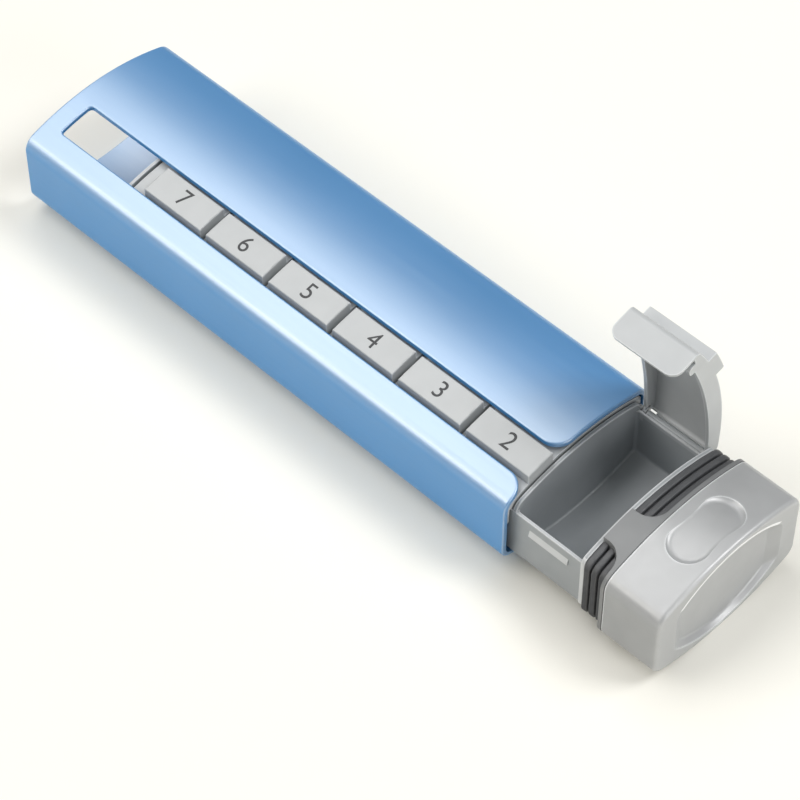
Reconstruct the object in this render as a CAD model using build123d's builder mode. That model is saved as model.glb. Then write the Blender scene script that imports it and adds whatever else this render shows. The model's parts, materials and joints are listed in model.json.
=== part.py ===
from build123d import *
import math
import os

os.makedirs("parts", exist_ok=True)

# A weekly pill organizer: a tray of seven lidded compartments that slides in an arched sleeve.
# Millimetres, +X towards the pull cap, -Y to the side of the label slot, +Z up.
# The origin is the middle of the flat strip under the sleeve. The tray stands one compartment
# out of the sleeve, with the first lid open.

# Sleeve section
sleeve_width = 50.0
sleeve_height = 28.9
arch_rise = 4.6
rest_width = 15.0
sleeve_wall = 1.3
shoulder_radius = 4.4
foot_radius = 4.0
least_round = 1.2
sleeve_edge_round = 0.5
mouth_radius = 5.0
slot_corner_radius = 1.2
touch = 0.001

# Compartments and tray
compartments = 7
pitch = 22.0
divider = 1.0
divider_drop = 3.2
divider_round = 3.0
divider_inset = 0.1
tray_floor = 1.2
near_wall = 0.8
tail_wall = 0.8
tail_ledge = 4.3
end_wall = 1.1
end_wall_drop = 2.0
pocket_radius = 0.9
pocket_floor_radius = 0.7
tray_foot_radius = 1.0
slide_gap = 0.3
tail_gap = 0.45
tail_recess = 0.45
rim_drop = 8.6

# Latch ribs on the tray's near wall
rib_length = 12.0
rib_width = 2.1
rib_height = 0.5
rib_edge = 0.4
rib_drop = 3.4

# Lids
lid_space = 2.0
lid_gap = 0.35
lid_headroom = 1.25
lid_thickness = 1.0
lip_thickness = 0.75
lip_gap = 0.15
lip_reach = 6.8
lip_radius = 3.0
skirt_thickness = 1.0
skirt_gap = 0.2
skirt_rise = 1.2
skirt_dip = 1.1
skirt_inset = 0.45
nose_width = 2.8
nose_dip = 2.1
nose_round = 1.0
label_width = 8.3
label_y = -12.1
label_proud = 0.3
label_round = 0.35
slot_near_gap = 1.0
slot_far_gap = 1.25
slot_end_gap = 0.3
lid_opening_angle = 75.6

# Hinge
hinge_drop = 10.0
rod_radius = 0.5
rod_seat_gap = 0.02
rod_running_gap = 0.05
knuckle_wall = 0.55
barrel_gap = 0.35
notch_start = 0.4
notch_length = 2.4
notch_rise = 2.2
web = 0.55
web_gap = 0.15
rebate_gap = 0.25
rod_end_gap = 0.3

# Neck, seal, flange and spigot at the tray's cap end
neck_length = 6.65
neck_wall = 1.2
seal_base = 0.8
seal_rib_height = 1.25
seal_ribs = 3
seal_rib_share = 0.76
seal_rib_round = 0.45
seal_clearance = 0.05
tongue_gap = 0.45
tongue_seal_gap = 0.15
flange = 1.0
spigot_length = 5.0
spigot_gap = 0.1

# Pull cap
cap_length = 16.6
cap_wall = 2.0
cap_end = 4.0
cap_end_round = 1.2
cap_edge_chamfer = 0.3
dish_border = 1.55
dish_side_border = 6.4
dish_end_border = 3.65
dish_side_slope = 3.5
dish_slope = 0.9
dish_end_slope = 1.0
dish_depth = 1.6
dish_corner = 2.5
dish_round = 0.8
dish_edge_round = 0.3
dent_length = 23.6
dent_width = 12.4
dent_depth = 1.3
dent_middle_depth = 0.1
dent_round = 2.0

# Section sizes that follow from these
half_width = sleeve_width / 2
arch_radius = (half_width**2 + arch_rise**2) / (2 * arch_rise)
rest_depth = arch_radius - math.sqrt(arch_radius**2 - (rest_width / 2) ** 2)
bore_half_width = half_width - sleeve_wall
lid_half_width = bore_half_width - lid_gap
lid_drop = sleeve_wall + lid_headroom
lid_round = shoulder_radius - lid_drop
lid_inner_drop = lid_drop + lid_thickness
lip_inner = lid_half_width - lip_thickness
tray_half_width = lip_inner - lip_gap - rib_height
tray_drop = sleeve_wall + slide_gap
knuckle_radius = rod_radius + knuckle_wall
hinge_y = lid_half_width - knuckle_radius
hinge_z = sleeve_height - hinge_drop
rim_z = sleeve_height - rim_drop
lip_bottom = rim_z - lip_reach
skirt_z = rim_z + skirt_gap
skirt_end_z = rim_z - skirt_dip
near_inner = -(tray_half_width - near_wall)
web_outer = hinge_y - knuckle_radius - web_gap
far_inner = web_outer - web
rebate_z = hinge_z - knuckle_radius - rebate_gap
neck_drop = sleeve_wall + seal_clearance + seal_rib_height + seal_base
skirt_near = near_inner + skirt_inset
skirt_far = far_inner - skirt_inset
slot_half = (label_width + slot_near_gap + slot_far_gap) / 2
slot_y = label_y + (slot_far_gap - slot_near_gap) / 2
dish_z = (sleeve_height - rest_depth) / 2
dish_half = half_width - dish_side_border
dish_reach = sleeve_height / 2 - dish_border
dish_end_reach = sleeve_height / 2 - arch_rise - dish_end_border
rib_root = near_inner - near_wall / 2
rib_top = rim_z - rib_drop + rib_width / 2
rib_foot = rib_top - rib_width
rib_outline = [
    (rib_root, rib_top),
    (-tray_half_width, rib_top),
    (-tray_half_width - rib_height, rib_foot + rib_edge),
    (-tray_half_width - rib_height, rib_foot),
    (rib_root, rib_foot),
]

# Stations along X, from the cap end of the tray back to its tail
pocket_length = pitch - divider
lid_length = pitch - lid_space
ear_space = (pocket_length - lid_length) / 2 + skirt_thickness + barrel_gap
drawn_out = neck_length + end_wall + pitch
tray_length = neck_length + end_wall + compartments * pitch - divider + tail_ledge + tail_wall
sleeve_length = tray_length + tail_recess
sleeve_right = sleeve_length / 2
sleeve_left = -sleeve_right
flange_x = sleeve_right + drawn_out
neck_left = flange_x - neck_length
first_wall = neck_left - end_wall
cap_left = flange_x + flange
cap_right = cap_left + cap_length
tail_left = flange_x - tray_length
rod_reach = first_wall + end_wall / 2 - tail_left


def pocket_right(number):
    """The cap-side wall of a compartment."""
    return first_wall - (number - 1) * pitch


def pocket_left(number):
    """The tail-side wall of a compartment. The last one is longer, by the tail ledge."""
    ledge = tail_ledge if number == compartments else 0
    return pocket_right(number) - pocket_length - ledge


def pocket_size(number):
    """A compartment's length along X."""
    return pocket_right(number) - pocket_left(number)


def pocket_middle(number):
    """The middle of a compartment along X."""
    return (pocket_right(number) + pocket_left(number)) / 2


def label_x(number):
    """The middle of a lid's label plate."""
    return pocket_right(number) - pocket_length / 2


slot_left = label_x(compartments) - lid_length / 2 - drawn_out - slot_end_gap


def arch_z(y, drop):
    """Height, at y, of the arch that lies drop below the sleeve's outer surface."""
    return sleeve_height - arch_radius + math.sqrt((arch_radius - drop) ** 2 - y**2)


def belly_z(y, drop):
    """Height, at y, of the arch that lies drop above the sleeve's outer belly."""
    return arch_radius - rest_depth - math.sqrt((arch_radius - drop) ** 2 - y**2)


def arched_face(half, drop, bottom, top_round):
    """Draw a section with an arched top, rounded shoulders and a flat bottom in the open sketch."""
    shoulder = arch_z(half, drop)
    with BuildLine() as outline:
        Polyline((half, shoulder), (half, bottom), (-half, bottom), (-half, shoulder))
        ThreePointArc((-half, shoulder), (0, arch_z(0, drop)), (half, shoulder))
    make_face(outline.edges())
    fillet(vertices().group_by(Axis.Y)[-1], top_round)


def lens_face(half, drop, top_round, foot_round):
    """Draw a section that bulges above and below, with rounded corners, in the open sketch."""
    shoulder = arch_z(half, drop)
    foot = belly_z(half, drop)
    with BuildLine() as outline:
        ThreePointArc((-half, shoulder), (0, arch_z(0, drop)), (half, shoulder))
        Line((half, shoulder), (half, foot))
        ThreePointArc((half, foot), (0, belly_z(0, drop)), (-half, foot))
        Line((-half, foot), (-half, shoulder))
    make_face(outline.edges())
    fillet(vertices().group_by(Axis.Y)[-1], top_round)
    fillet(vertices().group_by(Axis.Y)[0], foot_round)


def inset_face(drop):
    """Draw the sleeve's outer section, drawn in by drop all round."""
    top_round = max(shoulder_radius - drop, least_round)
    foot_round = max(foot_radius - drop, least_round)
    lens_face(half_width - drop, drop, top_round, foot_round)


def trough_face(drop):
    """Draw the tray's section, from the belly that lies drop in from the sleeve's up to the rim."""
    side = tray_half_width
    foot = belly_z(side, drop)
    with BuildLine() as outline:
        ThreePointArc((-side, foot), (0, belly_z(0, drop)), (side, foot))
        Polyline((side, foot), (side, rim_z), (-side, rim_z), (-side, foot))
    make_face(outline.edges())


def slot_face(left, right, half):
    """Draw the label slot's plan, with a mouth that flares at its right end, in the open sketch."""
    near = slot_y - half
    far = slot_y + half
    bend = right - mouth_radius
    with BuildLine() as outline:
        Polyline((bend, near), (left, near), (left, far), (bend, far))
        TangentArc((bend, far), (right, far + mouth_radius), tangent=(1, 0))
        Line((right, far + mouth_radius), (right, near - mouth_radius))
        TangentArc((bend, near), (right, near - mouth_radius), tangent=(1, 0))
    make_face(outline.edges())


def runs_along(face, outline):
    """Whether a face of the sleeve runs along X from an outline at its left end."""
    middle = face.position_at(0.5, 0.5)
    return outline.distance_to((sleeve_left, middle.Y, middle.Z)) < touch


# The sleeve: a tube with the label slot in its top and a narrow flat to rest on
with BuildPart() as outer_sleeve:
    with BuildSketch(Plane.YZ.offset(sleeve_left)) as skin:
        inset_face(0)
    extrude(amount=sleeve_length)
    with BuildSketch(Plane.YZ.offset(sleeve_left)):
        inset_face(sleeve_wall)
    extrude(amount=sleeve_length, mode=Mode.SUBTRACT)
    with BuildSketch(Plane.XY.offset(rim_z)):
        slot_face(slot_left, sleeve_right, slot_half)
        fillet(vertices().group_by(Axis.X)[0], slot_corner_radius)
    extrude(amount=sleeve_height, mode=Mode.SUBTRACT)
    skin_faces = [face for face in faces() if runs_along(face, skin.sketch.wire())]
    skin_edges = [edge for face in skin_faces for edge in face.edges()]
    fillet([edge for edge in skin_edges if skin_edges.count(edge) == 1], sleeve_edge_round)
    with BuildSketch(Plane.XY):
        Rectangle(sleeve_length, sleeve_width)
    extrude(amount=-rest_depth, mode=Mode.SUBTRACT)
outer_sleeve.part.label = "outer_sleeve"
export_step(outer_sleeve.part, "parts/outer_sleeve.step")


# The hollows of the compartments, with floors that follow the belly
with BuildPart() as pockets:
    with BuildSketch(Plane.XY):
        for number in range(1, compartments + 1):
            with Locations((pocket_middle(number), (far_inner + near_inner) / 2)):
                RectangleRounded(pocket_size(number), far_inner - near_inner, pocket_radius)
    extrude(amount=sleeve_height)
    with BuildSketch(Plane.YZ.offset(tail_left)):
        trough_face(tray_drop + tray_floor)
    extrude(amount=first_wall - tail_left, mode=Mode.INTERSECT)
    fillet(faces().sort_by(Axis.Z)[:compartments].edges(), pocket_floor_radius)


# The tray: pockets, arched dividers, hinge barrels, latch ribs, neck, tongue, flange and spigot
with BuildPart() as pill_tray:
    with BuildSketch(Plane.YZ.offset(neck_left)):
        inset_face(0)
    extrude(amount=neck_length)
    with BuildSketch(Plane.XY.offset(rim_z)):
        slot_face(neck_left, flange_x, slot_half - tongue_gap)
    extrude(amount=sleeve_height, mode=Mode.INTERSECT)
    with BuildSketch(Plane.YZ.offset(neck_left)):
        inset_face(neck_drop)
    extrude(amount=neck_length)
    with BuildSketch(Plane.YZ.offset(flange_x)):
        inset_face(0)
    extrude(amount=flange)
    with BuildSketch(Plane.XY):
        with Locations((flange_x + flange / 2, 0)):
            Rectangle(flange, sleeve_width)
    extrude(amount=-rest_depth, mode=Mode.SUBTRACT)
    with BuildSketch(Plane.YZ.offset(cap_left)):
        inset_face(cap_wall + spigot_gap)
    extrude(amount=spigot_length)
    with BuildSketch(Plane.YZ.offset(neck_left)):
        inset_face(neck_drop + neck_wall)
    extrude(amount=neck_length + flange + spigot_length, mode=Mode.SUBTRACT)
    with BuildSketch(Plane.YZ.offset(first_wall)):
        inset_face(end_wall_drop)
    extrude(amount=end_wall)

    with BuildSketch(Plane.YZ.offset(tail_left)):
        trough_face(tray_drop)
        fillet(vertices().group_by(Axis.Y)[0], tray_foot_radius)
    extrude(amount=first_wall - tail_left)
    with BuildSketch(Plane.YZ.offset(tail_left)):
        inset_face(sleeve_wall + tail_gap)
    extrude(amount=tail_wall)
    for number in range(1, compartments):
        with BuildSketch(Plane.YZ.offset(pocket_left(number) - divider)):
            arched_face(tray_half_width - divider_inset, divider_drop, rebate_z, divider_round)
            with Locations((hinge_y, hinge_z)):
                Circle(knuckle_radius)
        extrude(amount=divider)

    add(pockets.part, mode=Mode.SUBTRACT)
    with BuildSketch(Plane.XY.offset(rebate_z)):
        for number in range(1, compartments + 1):
            with Locations((pocket_middle(number), (web_outer + bore_half_width) / 2)):
                Rectangle(pocket_size(number), bore_half_width - web_outer)
    extrude(amount=sleeve_height, mode=Mode.SUBTRACT)
    for number in range(1, compartments + 1):
        barrel_length = pocket_size(number) - 2 * ear_space
        with BuildSketch(Plane.YZ.offset(pocket_left(number) + ear_space)):
            with Locations((hinge_y, hinge_z)):
                Circle(knuckle_radius)
                Rectangle(hinge_y - far_inner, hinge_z - rebate_z + web, align=(Align.MAX, Align.MAX))
        extrude(amount=barrel_length)
    for number in range(1, compartments + 1):
        with BuildSketch(Plane.YZ.offset(label_x(number) - rib_length / 2)):
            with BuildLine():
                Polyline(rib_outline, close=True)
            make_face()
        extrude(amount=rib_length)
    with BuildSketch(Plane.YZ.offset(tail_left)):
        with Locations((hinge_y, hinge_z)):
            Circle(rod_radius + rod_seat_gap)
    extrude(amount=rod_reach, mode=Mode.SUBTRACT)
pill_tray.part.label = "pill_tray"
export_step(pill_tray.part, "parts/pill_tray.step")


# The hinge rod, in from the tail and stopped by the end wall
with BuildPart() as hinge_rod:
    with BuildSketch(Plane.YZ.offset(tail_left + rod_end_gap)):
        with Locations((hinge_y, hinge_z)):
            Circle(rod_radius)
    extrude(amount=rod_reach - 2 * rod_end_gap)
hinge_rod.part.label = "hinge_rod"
export_step(hinge_rod.part, "parts/hinge_rod.step")


def lid_plane(x, opening):
    """A plane square to X that holds a lid's closed Y and Z, turned open about the hinge rod."""
    turn = math.radians(opening)
    across = Vector(0, math.cos(turn), -math.sin(turn))
    rise = Vector(0, math.sin(turn), math.cos(turn))
    origin = Vector(x, hinge_y, hinge_z) - across * hinge_y - rise * hinge_z
    return Plane(origin=origin, x_dir=across, z_dir=(1, 0, 0))


def lid_face(bottom):
    """Draw a lid's outer section, which follows the sleeve's bore."""
    arched_face(lid_half_width, lid_drop, bottom, lid_round)


def skirt_face():
    """Draw a lid's end skirt, which dips into the compartment, and its hinge ear."""
    middle = (skirt_near + skirt_far) / 2
    lid_face(skirt_z)
    with Locations((skirt_near, skirt_z)):
        Rectangle(skirt_far - skirt_near, skirt_z - skirt_end_z, align=(Align.MIN, Align.MAX))
    near_end = (skirt_near, skirt_end_z)
    far_end = (skirt_far, skirt_end_z)
    with BuildLine() as hollow:
        ThreePointArc(near_end, (middle, rim_z + skirt_rise), far_end)
        Line(far_end, near_end)
    make_face(hollow.edges(), mode=Mode.SUBTRACT)
    with Locations((skirt_near, skirt_z)):
        Rectangle(nose_width, skirt_gap + nose_dip, align=(Align.MIN, Align.MAX))
    fillet(vertices().group_by(Axis.Y)[0], nose_round)
    with Locations((hinge_y, hinge_z)):
        Circle(knuckle_radius)
        Rectangle(2 * knuckle_radius, rim_z + skirt_rise - hinge_z, align=(Align.CENTER, Align.MIN))


def label_face():
    """Draw the section of a label plate, which stands in the sleeve's slot."""
    near = label_y - label_width / 2
    far = label_y + label_width / 2
    near_top = (near, arch_z(near, -label_proud))
    far_top = (far, arch_z(far, -label_proud))
    root_drop = lid_drop + lid_thickness / 2
    with BuildLine() as outline:
        ThreePointArc(near_top, (label_y, arch_z(label_y, -label_proud)), far_top)
        Polyline(far_top, (far, arch_z(far, root_drop)), (near, arch_z(near, root_drop)), near_top)
    make_face(outline.edges())


# The lids: a bowed cover with a latch lip, end skirts with hinge ears, and a label plate
for number in range(1, compartments + 1):
    opening = lid_opening_angle if number == 1 else 0
    label_left = label_x(number) - lid_length / 2
    left = label_left - (tail_ledge if number == compartments else 0)
    right = label_left + lid_length
    plane = lid_plane(left, opening)
    inner_plane = lid_plane(left + skirt_thickness, opening)
    across_axis = Axis((0, 0, 0), plane.x_dir)
    rise_axis = Axis((0, 0, 0), plane.y_dir)
    with BuildPart() as lid:
        with BuildSketch(plane):
            lid_face(lip_bottom)
        extrude(amount=right - left)
        with BuildSketch(plane):
            arched_face(lip_inner, lid_inner_drop, lip_bottom - lip_gap, lid_round - lip_thickness)
        extrude(amount=right - left, mode=Mode.SUBTRACT)
        with BuildSketch(plane):
            with Locations((hinge_y, hinge_z)):
                Rectangle(hinge_y, 2 * lip_reach, align=(Align.CENTER, Align.MAX))
        extrude(amount=right - left, mode=Mode.SUBTRACT)
        lip_corners = edges().filter_by(across_axis).sort_by(rise_axis)[:2]
        fillet(lip_corners, lip_radius)
        for skirt_x in (left, right - skirt_thickness):
            with BuildSketch(lid_plane(skirt_x, opening)):
                skirt_face()
            extrude(amount=skirt_thickness)
        with BuildSketch(plane):
            with Locations((hinge_y, hinge_z)):
                Circle(rod_radius + rod_running_gap)
        extrude(amount=right - left, mode=Mode.SUBTRACT)
        with BuildSketch(inner_plane):
            with Locations((hinge_y, hinge_z)):
                Circle(knuckle_radius + barrel_gap)
        extrude(amount=right - left - 2 * skirt_thickness, mode=Mode.SUBTRACT)
        with BuildSketch(lid_plane(left + notch_start, opening)):
            with Locations((lip_inner, hinge_z)):
                Rectangle(2 * lip_thickness, notch_rise, align=(Align.MIN, Align.MIN))
        extrude(amount=notch_length, mode=Mode.SUBTRACT)
        with BuildSketch(lid_plane(label_left, opening)):
            label_face()
        extrude(amount=lid_length)
        label_top = faces(Select.LAST).sort_by(rise_axis)[-1]
        fillet(label_top.edges(), label_round)
    lid.part.label = f"lid_{number}"
    export_step(lid.part, f"parts/lid_{number}.step")


# The seal: a ribbed rubber ring on the neck, open where the tongue passes
with BuildPart() as seal_gasket:
    with BuildSketch(Plane.YZ.offset(neck_left)):
        inset_face(neck_drop - seal_base)
    extrude(amount=neck_length)
    rib_pitch = neck_length / seal_ribs
    for count in range(seal_ribs):
        with BuildSketch(Plane.YZ.offset(neck_left + (count + 0.5 - seal_rib_share / 2) * rib_pitch)):
            inset_face(sleeve_wall + seal_clearance)
        extrude(amount=seal_rib_share * rib_pitch)
    rib_sides = faces().filter_by(Axis.X).sort_by(Axis.X)[1:-1]
    fillet([edge for side in rib_sides for edge in side.outer_wire().edges()], seal_rib_round)
    with BuildSketch(Plane.YZ.offset(neck_left)):
        inset_face(neck_drop - seal_clearance)
    extrude(amount=neck_length, mode=Mode.SUBTRACT)
    with BuildSketch(Plane.XY.offset(rim_z)):
        slot_face(neck_left, flange_x, slot_half - tongue_gap + tongue_seal_gap)
    extrude(amount=sleeve_height, mode=Mode.SUBTRACT)
seal_gasket.part.label = "seal_gasket"
export_step(seal_gasket.part, "parts/seal_gasket.step")


# The hollow of the thumb dent: deep at its two ends, and almost out in the middle
with BuildPart() as dent:
    dent_x = (cap_left + cap_right) / 2
    dent_end_z = arch_z(dent_length / 2, 0) - dent_depth
    with BuildSketch(Plane.XY.offset(dent_end_z - dent_width)):
        with Locations((dent_x, 0)):
            SlotOverall(dent_length, dent_width, rotation=90)
    extrude(amount=2 * dent_width)
    with BuildSketch(Plane.YZ.offset(dent_x)):
        near_end = (-dent_length / 2, dent_end_z)
        far_end = (dent_length / 2, dent_end_z)
        with BuildLine():
            ThreePointArc(near_end, (0, sleeve_height - dent_middle_depth), far_end)
            Line(far_end, (dent_length / 2, 0))
            Line((dent_length / 2, 0), (-dent_length / 2, 0))
            Line((-dent_length / 2, 0), near_end)
        make_face()
    extrude(amount=dent_width, both=True, mode=Mode.SUBTRACT)
    fillet(faces().sort_by(Axis.Z)[0].edges(), dent_round)


def eye_face(half, reach, end_reach):
    """Draw an outline of the dish, which is bowed more than the cap, in the open sketch."""
    with BuildLine() as outline:
        ThreePointArc((-half, dish_z + end_reach), (0, dish_z + reach), (half, dish_z + end_reach))
        Line((half, dish_z + end_reach), (half, dish_z - end_reach))
        ThreePointArc((half, dish_z - end_reach), (0, dish_z - reach), (-half, dish_z - end_reach))
        Line((-half, dish_z - end_reach), (-half, dish_z + end_reach))
    make_face(outline.edges())
    fillet(vertices(), dish_corner)


# The pull cap: a hollow cap on the spigot, with a dished end and a thumb dent on top
with BuildPart() as pull_cap:
    with BuildSketch(Plane.YZ.offset(cap_left)):
        inset_face(0)
    extrude(amount=cap_length)
    fillet(faces().sort_by(Axis.X)[-1].edges(), cap_end_round)
    chamfer(faces().sort_by(Axis.X)[0].edges(), cap_edge_chamfer)
    with BuildSketch(Plane.XY):
        with Locations((dent_x, 0)):
            Rectangle(cap_length, sleeve_width)
    extrude(amount=-rest_depth, mode=Mode.SUBTRACT)
    with BuildSketch(Plane.YZ.offset(cap_left)):
        inset_face(cap_wall)
    extrude(amount=cap_length - cap_end, mode=Mode.SUBTRACT)
    with BuildSketch(Plane.YZ.offset(cap_right)):
        eye_face(dish_half, dish_reach, dish_end_reach)
    with BuildSketch(Plane.YZ.offset(cap_right - dish_depth)):
        eye_face(dish_half - dish_side_slope, dish_reach - dish_slope, dish_end_reach + dish_end_slope)
    loft(mode=Mode.SUBTRACT)
    dish_floor = faces().filter_by(Axis.X).sort_by(Axis.X)[-2]
    fillet(dish_floor.edges(), dish_round)
    end_face = faces().filter_by(Axis.X).sort_by(Axis.X)[-1]
    fillet(end_face.inner_wires()[0].edges(), dish_edge_round)
    add(dent.part, mode=Mode.SUBTRACT)
pull_cap.part.label = "pull_cap"
export_step(pull_cap.part, "parts/pull_cap.step")
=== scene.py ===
import json
import math

import bmesh
import bpy
from mathutils import Matrix, Vector


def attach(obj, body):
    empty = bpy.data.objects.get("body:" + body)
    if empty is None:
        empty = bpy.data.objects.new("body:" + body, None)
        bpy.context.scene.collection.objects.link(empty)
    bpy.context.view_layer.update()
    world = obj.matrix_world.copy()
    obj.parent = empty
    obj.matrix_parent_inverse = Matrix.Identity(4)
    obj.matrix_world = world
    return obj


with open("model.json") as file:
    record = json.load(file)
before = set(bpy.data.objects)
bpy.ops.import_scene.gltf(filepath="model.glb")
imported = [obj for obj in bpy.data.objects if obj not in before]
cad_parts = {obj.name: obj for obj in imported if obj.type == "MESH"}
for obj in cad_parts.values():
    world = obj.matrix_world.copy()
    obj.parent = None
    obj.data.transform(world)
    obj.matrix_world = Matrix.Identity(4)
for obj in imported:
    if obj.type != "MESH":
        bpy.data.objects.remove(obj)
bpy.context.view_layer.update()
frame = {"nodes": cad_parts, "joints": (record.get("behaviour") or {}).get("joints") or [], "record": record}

nodes = frame["nodes"]
joints = {joint["child"]: joint for joint in frame["joints"]}
bodies = frame["record"]["behaviour"]["bodies"]
body_of_node = {node: body for body, members in bodies.items() for node in members}

# Lengths are in metres and angles in degrees.

# The camera, which looks down at the object over the slot's side and the cap
camera_target = Vector((0.0395, -0.0144, 0.0167))
camera_distance = 0.7307
camera_azimuth = 44.15
camera_elevation = 50.93
camera_lens = 137.3

# The surround: its colour, its level from dim to bright, the direction it brightens towards,
# and how far it has to turn that way before it starts to brighten
surround_colour = (1.0, 1.0, 0.985, 1.0)
surround_low = 0.08
surround_high = 0.45
surround_direction = (-0.3, -0.3, 0.9)
surround_start = 0.2

# The floor
floor_reach = 6.0
floor_colour = (0.93, 0.915, 0.85, 1.0)

# The numerals on the label plates: their height, the slices that let them follow the plate's curve,
# how far they go into the plate and stand out of it, and where their middle is on a closed lid
numeral_height = 0.0046
numeral_step = 0.0003
numeral_sink = 0.00005
numeral_proud = 0.00003
label_y = -0.0121
label_from_right = 0.01

# Where the tray's latch ribs, which carry a painted highlight, stand out of its wall, and where its neck begins
tray_side = 0.022
neck_x = 0.1063

# The upper edge of the dish in the cap's end: the arc of the painted highlight line along it, and where that line
# begins
dish_rim_z = -0.00202
dish_rim_radius = 0.02952
dish_rim_width = 0.0009
dish_rim_low = 0.022
dish_rim_x = 0.1303

# The span that most of a noise's values lie in
noise_low = 0.3
noise_high = 0.7

# Half the width over which a mask rises at a place
mask_fade = 0.00003

# The plain level of a shine, and how squarely a face has to look sideways to begin and to end losing it
shine_level = 0.5
sideways_start = 0.8
sideways_end = 0.985

# The openness below which a place counts as an outer edge
edge_start = 0.95


def add_object(name, data):
    """Link a new object into the scene."""
    new = bpy.data.objects.new(name, data)
    bpy.context.scene.collection.objects.link(new)
    return new


class Finish:
    """A material around one Principled shader, with short calls for its nodes."""

    def __init__(self, name, **values):
        self.material = bpy.data.materials.new(name)
        self.material.use_nodes = True
        self.tree = self.material.node_tree
        self.shader = self.tree.nodes["Principled BSDF"]
        for socket, value in values.items():
            self.shader.inputs[socket.replace("_", " ")].default_value = value
        place = self.add("ShaderNodeTexCoord")
        self.coordinates = place.outputs["Object"]
        self.normal = place.outputs["Normal"]

    def add(self, kind, **values):
        """Add a node and set its input values."""
        node = self.tree.nodes.new(kind)
        for socket, value in values.items():
            node.inputs[socket.replace("_", " ")].default_value = value
        return node

    def link(self, output, target):
        """Link an output to an input."""
        self.tree.links.new(output, target)

    def noise(self, size, detail=2.0, stretch=(1, 1, 1)):
        """Noise with grains of about a size, which are longer along an axis by its stretch."""
        mapping = self.add("ShaderNodeMapping", Scale=[1 / (size * factor) for factor in stretch])
        self.link(self.coordinates, mapping.inputs["Vector"])
        texture = self.add("ShaderNodeTexNoise", Scale=1.0, Detail=detail)
        self.link(mapping.outputs["Vector"], texture.inputs["Vector"])
        return texture.outputs["Fac"]

    def ramp(self, noise, low, high):
        """A colour that runs between two colours with noise."""
        ramp = self.add("ShaderNodeValToRGB")
        first, last = ramp.color_ramp.elements
        first.position = noise_low
        first.color = (*low, 1)
        last.position = noise_high
        last.color = (*high, 1)
        self.link(noise, ramp.inputs["Fac"])
        return ramp.outputs["Color"]

    def colour(self, output):
        """Take the base colour from an output."""
        self.link(output, self.shader.inputs["Base Color"])

    def roughness(self, noise, low, high):
        """Run the roughness between two values with noise."""
        level = self.add("ShaderNodeMapRange", From_Min=noise_low, From_Max=noise_high, To_Min=low, To_Max=high)
        self.link(noise, level.inputs["Value"])
        self.link(level.outputs["Result"], self.shader.inputs["Roughness"])

    def relief(self, noise, depth, edge):
        """A bump of some depth, over edges that are eased by a small radius."""
        bevel = self.add("ShaderNodeBevel", Radius=edge)
        bump = self.add("ShaderNodeBump", Strength=1.0, Distance=depth)
        self.link(bevel.outputs["Normal"], bump.inputs["Normal"])
        self.link(noise, bump.inputs["Height"])
        self.link(bump.outputs["Normal"], self.shader.inputs["Normal"])

    def polish(self, least):
        """A plain shine that falls to a least level on the two long sides."""
        facing = self.add("ShaderNodeSeparateXYZ")
        self.link(self.normal, facing.inputs["Vector"])
        sideways = self.add("ShaderNodeMath")
        sideways.operation = "ABSOLUTE"
        self.link(facing.outputs["Y"], sideways.inputs[0])
        level = self.add("ShaderNodeMapRange", From_Min=sideways_start, From_Max=sideways_end)
        level.inputs["To Min"].default_value = shine_level
        level.inputs["To Max"].default_value = least
        self.link(sideways.outputs["Value"], level.inputs["Value"])
        self.link(level.outputs["Result"], self.shader.inputs["Specular IOR Level"])

    def past(self, axis, place):
        """A mask that rises to 1 where a coordinate passes a place."""
        split = self.add("ShaderNodeSeparateXYZ")
        self.link(self.coordinates, split.inputs["Vector"])
        mask = self.add("ShaderNodeMapRange", From_Min=place - mask_fade, From_Max=place + mask_fade)
        self.link(split.outputs[axis], mask.inputs["Value"])
        return mask.outputs["Result"]

    def arc(self, height, radius, width):
        """A mask that is 1 along an arc of some width, around a line along X at a height."""
        section = self.add("ShaderNodeMapping", Location=(0, 0, -height), Scale=(0, 1, 1))
        self.link(self.coordinates, section.inputs["Vector"])
        reach = self.add("ShaderNodeVectorMath")
        reach.operation = "LENGTH"
        self.link(section.outputs["Vector"], reach.inputs[0])
        near = self.add("ShaderNodeMath")
        near.operation = "COMPARE"
        near.inputs[1].default_value = radius
        near.inputs[2].default_value = width / 2
        self.link(reach.outputs["Value"], near.inputs[0])
        return near.outputs["Value"]

    def edges(self, width, openness):
        """A mask that rises to 1 along outer edges, over a width, as their openness falls to a level."""
        inside = self.add("ShaderNodeAmbientOcclusion", Distance=width)
        inside.inside = True
        inside.only_local = True
        mask = self.add("ShaderNodeMapRange", From_Min=edge_start, From_Max=openness)
        self.link(inside.outputs["AO"], mask.inputs["Value"])
        return mask.outputs["Result"]

    def blend(self, mask, below, above):
        """Go from one colour to another with a mask."""
        mix = self.tree.nodes.new("ShaderNodeMix")
        mix.data_type = "RGBA"
        self.link(mask, mix.inputs["Factor"])
        self.link(below, mix.inputs["A"])
        self.link(above, mix.inputs["B"])
        return mix.outputs["Result"]


class Plastic(Finish):
    """Moulded plastic with a fine eroded texture, a slight cloudiness and a painted highlight along its outer
    edges.

    face and edge are each a pair of colours, which the cloudiness runs between; edge is the colour of the painted
    highlight on the outer edges.
    """

    def __init__(self, name, face, edge, ior=1.7, edge_width=0.0004, edge_openness=0.6):
        super().__init__(name, IOR=ior)
        self.cloud = self.noise(size=0.006, detail=4.0)
        self.pale = self.ramp(self.cloud, *edge)
        # Painted highlight: the outer edges take the pale colour in place of the light that catches on them.
        self.shade = self.blend(self.edges(edge_width, edge_openness), self.ramp(self.cloud, *face), self.pale)
        self.roughness(self.noise(size=0.0015), low=0.36, high=0.44)
        self.relief(self.noise(size=0.00018, detail=1.0), depth=0.0000025, edge=0.00018)


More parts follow.
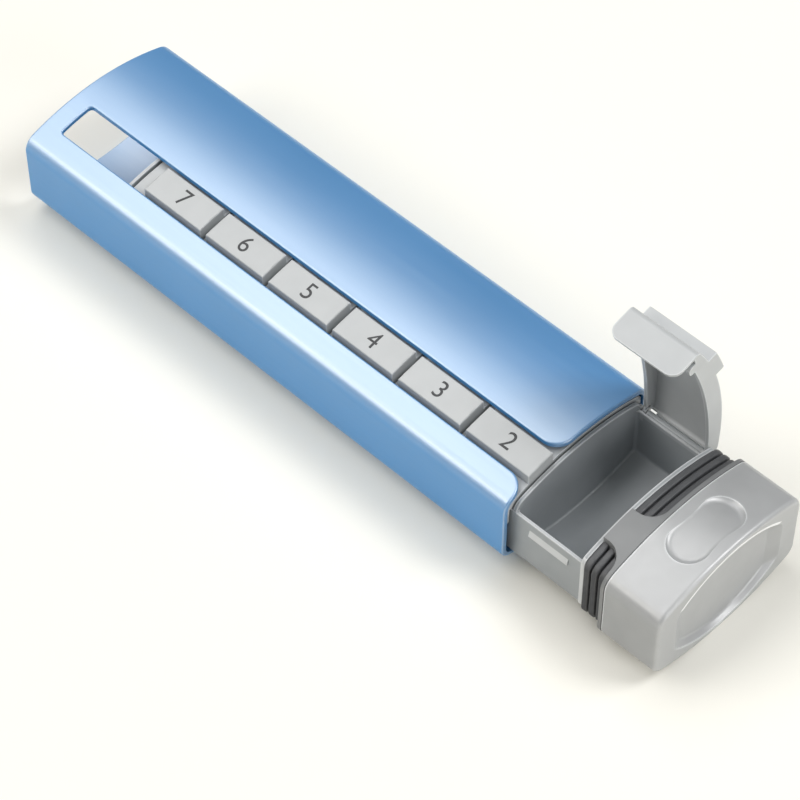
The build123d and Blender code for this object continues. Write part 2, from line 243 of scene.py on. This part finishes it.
def lid_plastic():
    """The lids' plastic, with a painted highlight along its outer edges."""
    finish = Plastic(
        "lid_grey",
        face=((0.47, 0.488, 0.496), (0.5, 0.518, 0.526)),
        # edge: the pale colours of the painted highlight along the lids' outer edges
        edge=((0.6345, 0.6588, 0.6696), (0.675, 0.6993, 0.7101)),
    )
    finish.colour(finish.shade)
    return finish.material


def anodised():
    """Satin blue anodised aluminium, with the faint lines of an extrusion under a blasted grain."""
    finish = Finish("anodised_blue", IOR=4.0, Specular_Tint=(0.98, 1.0, 0.97, 1.0))
    lines = finish.noise(size=0.0004, stretch=(120, 1, 1))
    finish.colour(finish.ramp(finish.noise(size=0.03), low=(0.036, 0.262, 0.61), high=(0.044, 0.277, 0.635)))
    finish.roughness(lines, low=0.36, high=0.42)
    finish.relief(finish.noise(size=0.00012, detail=1.0), depth=0.0000012, edge=0.0002)
    finish.polish(least=0.14)
    return finish.material


def tray_plastic():
    """The tray's plastic, with a painted highlight on its latch ribs and along its outer edges, and a darker neck.
    """
    finish = Plastic(
        "tray_grey",
        face=((0.31, 0.333, 0.35), (0.34, 0.363, 0.38)),
        # edge: the pale colours of the painted highlight along the tray's outer edges and on its latch ribs
        edge=((0.6, 0.618, 0.631), (0.65, 0.668, 0.681)),
        edge_width=0.0006,
    )
    # Painted highlight: the latch ribs, which stand out past the wall, take the pale edge colour as if catching
    # the light.
    with_painted_rib_highlight = finish.blend(finish.past("Y", -tray_side), finish.pale, finish.shade)
    neck = finish.ramp(finish.cloud, low=(0.185, 0.192, 0.196), high=(0.21, 0.217, 0.221))
    finish.colour(finish.blend(finish.past("X", neck_x), with_painted_rib_highlight, neck))
    return finish.material


def cap_plastic():
    """The cap's plastic, less polished on its sides, with a painted highlight along its outer edges and a painted
    highlight line along the upper edge of its dish.
    """
    finish = Plastic(
        "cap_grey",
        face=((0.355, 0.365, 0.372), (0.385, 0.395, 0.402)),
        # edge: the pale colours of the painted highlight along the cap's outer edges
        edge=((0.781, 0.803, 0.8184), (0.847, 0.869, 0.8844)),
        ior=2.5,
        edge_width=0.0006,
        edge_openness=0.84,
    )
    finish.polish(least=0.12)
    # Painted highlight: a pale line along the upper edge of the dish, in place of the floor's reflection in that
    # edge.
    light = finish.ramp(finish.noise(size=0.006), low=(0.86, 0.865, 0.87), high=(0.91, 0.915, 0.92))
    painted_rim_highlight = finish.blend(finish.arc(dish_rim_z, dish_rim_radius, dish_rim_width), finish.shade, light)
    painted_rim_highlight = finish.blend(finish.past("Z", dish_rim_low), finish.shade, painted_rim_highlight)
    painted_rim_highlight = finish.blend(finish.past("X", dish_rim_x), finish.shade, painted_rim_highlight)
    finish.colour(painted_rim_highlight)
    return finish.material


def rubber():
    """Dark silicone rubber with a faint bloom."""
    finish = Finish("silicone_rubber", IOR=1.55)
    bloom = finish.noise(size=0.003, detail=4.0)
    finish.colour(finish.ramp(bloom, low=(0.075, 0.078, 0.083), high=(0.095, 0.098, 0.104)))
    finish.roughness(finish.noise(size=0.001), low=0.42, high=0.54)
    finish.relief(finish.noise(size=0.00025, detail=1.0), depth=0.000004, edge=0.0001)
    finish.polish(least=0.05)
    return finish.material


def steel():
    """Drawn steel, with lines along the rod."""
    finish = Finish("drawn_steel", Metallic=1.0)
    lines = finish.noise(size=0.00005, stretch=(60, 1, 1))
    finish.colour(finish.ramp(lines, low=(0.56, 0.56, 0.57), high=(0.66, 0.66, 0.66)))
    finish.roughness(lines, low=0.2, high=0.34)
    finish.relief(lines, depth=0.000001, edge=0.00005)
    return finish.material


def ink():
    """Dark grey printing, a little uneven."""
    finish = Finish("grey_ink", IOR=1.45)
    blotches = finish.noise(size=0.0004, detail=3.0)
    finish.colour(finish.ramp(blotches, low=(0.045, 0.047, 0.05), high=(0.07, 0.072, 0.076)))
    finish.roughness(finish.noise(size=0.0003), low=0.45, high=0.6)
    finish.relief(finish.noise(size=0.0001), depth=0.000003, edge=0.00001)
    return finish.material


def dress(node, material):
    """Give a CAD node its material."""
    nodes[node].data.materials.clear()
    nodes[node].data.materials.append(material)


def rest_turn(joint):
    """The turn that takes a lid from closed to where it is at rest."""
    place = Matrix.Translation(joint["pos_m"])
    opening = math.radians(-joint["range_deg"][0])
    return place @ Matrix.Rotation(opening, 4, Vector(joint["axis"])) @ place.inverted()


def numeral_mesh(text):
    """A numeral of the right height, upright along Y about its own middle, with a front and a back."""
    curve = bpy.data.curves.new(text, "FONT")
    curve.body = text
    curve.align_x = "CENTER"
    curve.extrude = 1.0
    drawn = add_object(text, curve)
    mesh = bpy.data.meshes.new_from_object(drawn.evaluated_get(bpy.context.evaluated_depsgraph_get()))
    bpy.data.objects.remove(drawn)
    low = min(vertex.co.y for vertex in mesh.vertices)
    high = max(vertex.co.y for vertex in mesh.vertices)
    for vertex in mesh.vertices:
        vertex.co.x *= numeral_height / (high - low)
        vertex.co.y = (vertex.co.y - (low + high) / 2) * numeral_height / (high - low)
    sliced = bmesh.new()
    sliced.from_mesh(mesh)
    level = numeral_step - numeral_height / 2
    while level < numeral_height / 2:
        shape = sliced.verts[:] + sliced.edges[:] + sliced.faces[:]
        bmesh.ops.bisect_plane(sliced, geom=shape, plane_co=(0, level, 0), plane_no=(0, 1, 0))
        level += numeral_step
    sliced.to_mesh(mesh)
    sliced.free()
    return mesh


def add_numeral(number, material):
    """Lay a numeral on a lid's label plate, following its curve."""
    lid = nodes[f"lid_{number}"]
    body = body_of_node[lid.name]
    turn = rest_turn(joints[body])
    closed = [turn.inverted() @ vertex.co for vertex in lid.data.vertices]
    label_x = max(point.x for point in closed) - label_from_right
    above = max(point.z for point in closed) + numeral_height
    up = turn.to_3x3() @ Vector((0, 0, 1))
    mesh = numeral_mesh(str(number))
    for vertex in mesh.vertices:
        start = turn @ Vector((label_x + vertex.co.x, label_y + vertex.co.y, above))
        _, place, _, _ = lid.ray_cast(start, -up)
        vertex.co = place + up * (numeral_proud if vertex.co.z > 0 else -numeral_sink)
    mesh.materials.clear()
    mesh.materials.append(material)
    numeral = add_object(f"numeral_{number}", mesh)
    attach(numeral, body)


def add_floor():
    """A pale floor that takes the object's shadow."""
    mesh = bpy.data.meshes.new("floor")
    corners = [(x * floor_reach, y * floor_reach, 0) for x, y in ((-1, -1), (1, -1), (1, 1), (-1, 1))]
    mesh.from_pydata(corners, [], [(0, 1, 2, 3)])
    floor = add_object("floor", mesh)
    material = bpy.data.materials.new("pale_floor")
    material.use_nodes = True
    tree = material.node_tree
    tree.nodes.remove(tree.nodes["Principled BSDF"])
    diffuse = tree.nodes.new("ShaderNodeBsdfDiffuse")
    diffuse.inputs["Color"].default_value = floor_colour
    tree.links.new(diffuse.outputs["BSDF"], tree.nodes["Material Output"].inputs["Surface"])
    mesh.materials.append(material)


def add_world():
    """A pale surround, brightest above the slot's side and dim behind the hinge."""
    world = bpy.data.worlds.new("surround")
    world.use_nodes = True
    tree = world.node_tree
    background = tree.nodes["Background"]
    background.inputs["Color"].default_value = surround_colour
    direction = tree.nodes.new("ShaderNodeTexCoord")
    towards = tree.nodes.new("ShaderNodeVectorMath")
    towards.operation = "DOT_PRODUCT"
    towards.inputs[1].default_value = Vector(surround_direction).normalized()
    level = tree.nodes.new("ShaderNodeMapRange")
    level.interpolation_type = "SMOOTHSTEP"
    level.inputs["From Min"].default_value = surround_start
    level.inputs["From Max"].default_value = 1.0
    level.inputs["To Min"].default_value = surround_low
    level.inputs["To Max"].default_value = surround_high
    tree.links.new(direction.outputs["Generated"], towards.inputs[0])
    tree.links.new(towards.outputs["Value"], level.inputs["Value"])
    tree.links.new(level.outputs["Result"], background.inputs["Strength"])
    bpy.context.scene.world = world


def add_light(name, direction, distance, width, depth, power, tint=(1.0, 1.0, 1.0)):
    """A soft box that shines at the object from a direction."""
    light = bpy.data.lights.new(name, "AREA")
    light.color = tint
    light.shape = "RECTANGLE"
    light.size = width
    light.size_y = depth
    light.energy = power
    lamp = add_object(name, light)
    lamp.location = camera_target + Vector(direction).normalized() * distance
    lamp.rotation_euler = Vector(direction).to_track_quat("Z", "Y").to_euler()
    lamp.visible_camera = False


def add_camera():
    """The camera at the photograph's place."""
    data = bpy.data.cameras.new("camera")
    data.lens = camera_lens
    camera = add_object("camera", data)
    tilt = math.radians(90 - camera_elevation)
    turn = math.radians(camera_azimuth)
    camera.rotation_euler = (tilt, 0, turn)
    camera.location = camera_target + camera.rotation_euler.to_matrix() @ Vector((0, 0, camera_distance))
    bpy.context.scene.camera = camera


lid_grey = lid_plastic()
dress("outer_sleeve", anodised())
dress("pill_tray", tray_plastic())
dress("hinge_rod", steel())
dress("seal_gasket", rubber())
dress("pull_cap", cap_plastic())
numeral_ink = ink()
for number in range(1, 8):
    dress(f"lid_{number}", lid_grey)
    add_numeral(number, numeral_ink)

add_floor()
add_world()
add_light("soft_box", direction=(-0.44, -0.02, 0.9), distance=1.2, width=1.3, depth=0.8, power=6.8)
add_light(
    "low_box", direction=(-0.46, -0.66, 0.6), distance=1.2, width=0.7, depth=0.45, power=3.7, tint=(1.0, 0.96, 0.9)
)
add_light("key", direction=(0.46, 0.42, 0.78), distance=1.3, width=0.5, depth=0.5, power=7.0)
add_light("side_fill", direction=(0.95, 0.02, 0.3), distance=1.3, width=0.7, depth=0.7, power=4.8)
add_camera()
bpy.context.scene.view_settings.view_transform = "Standard"
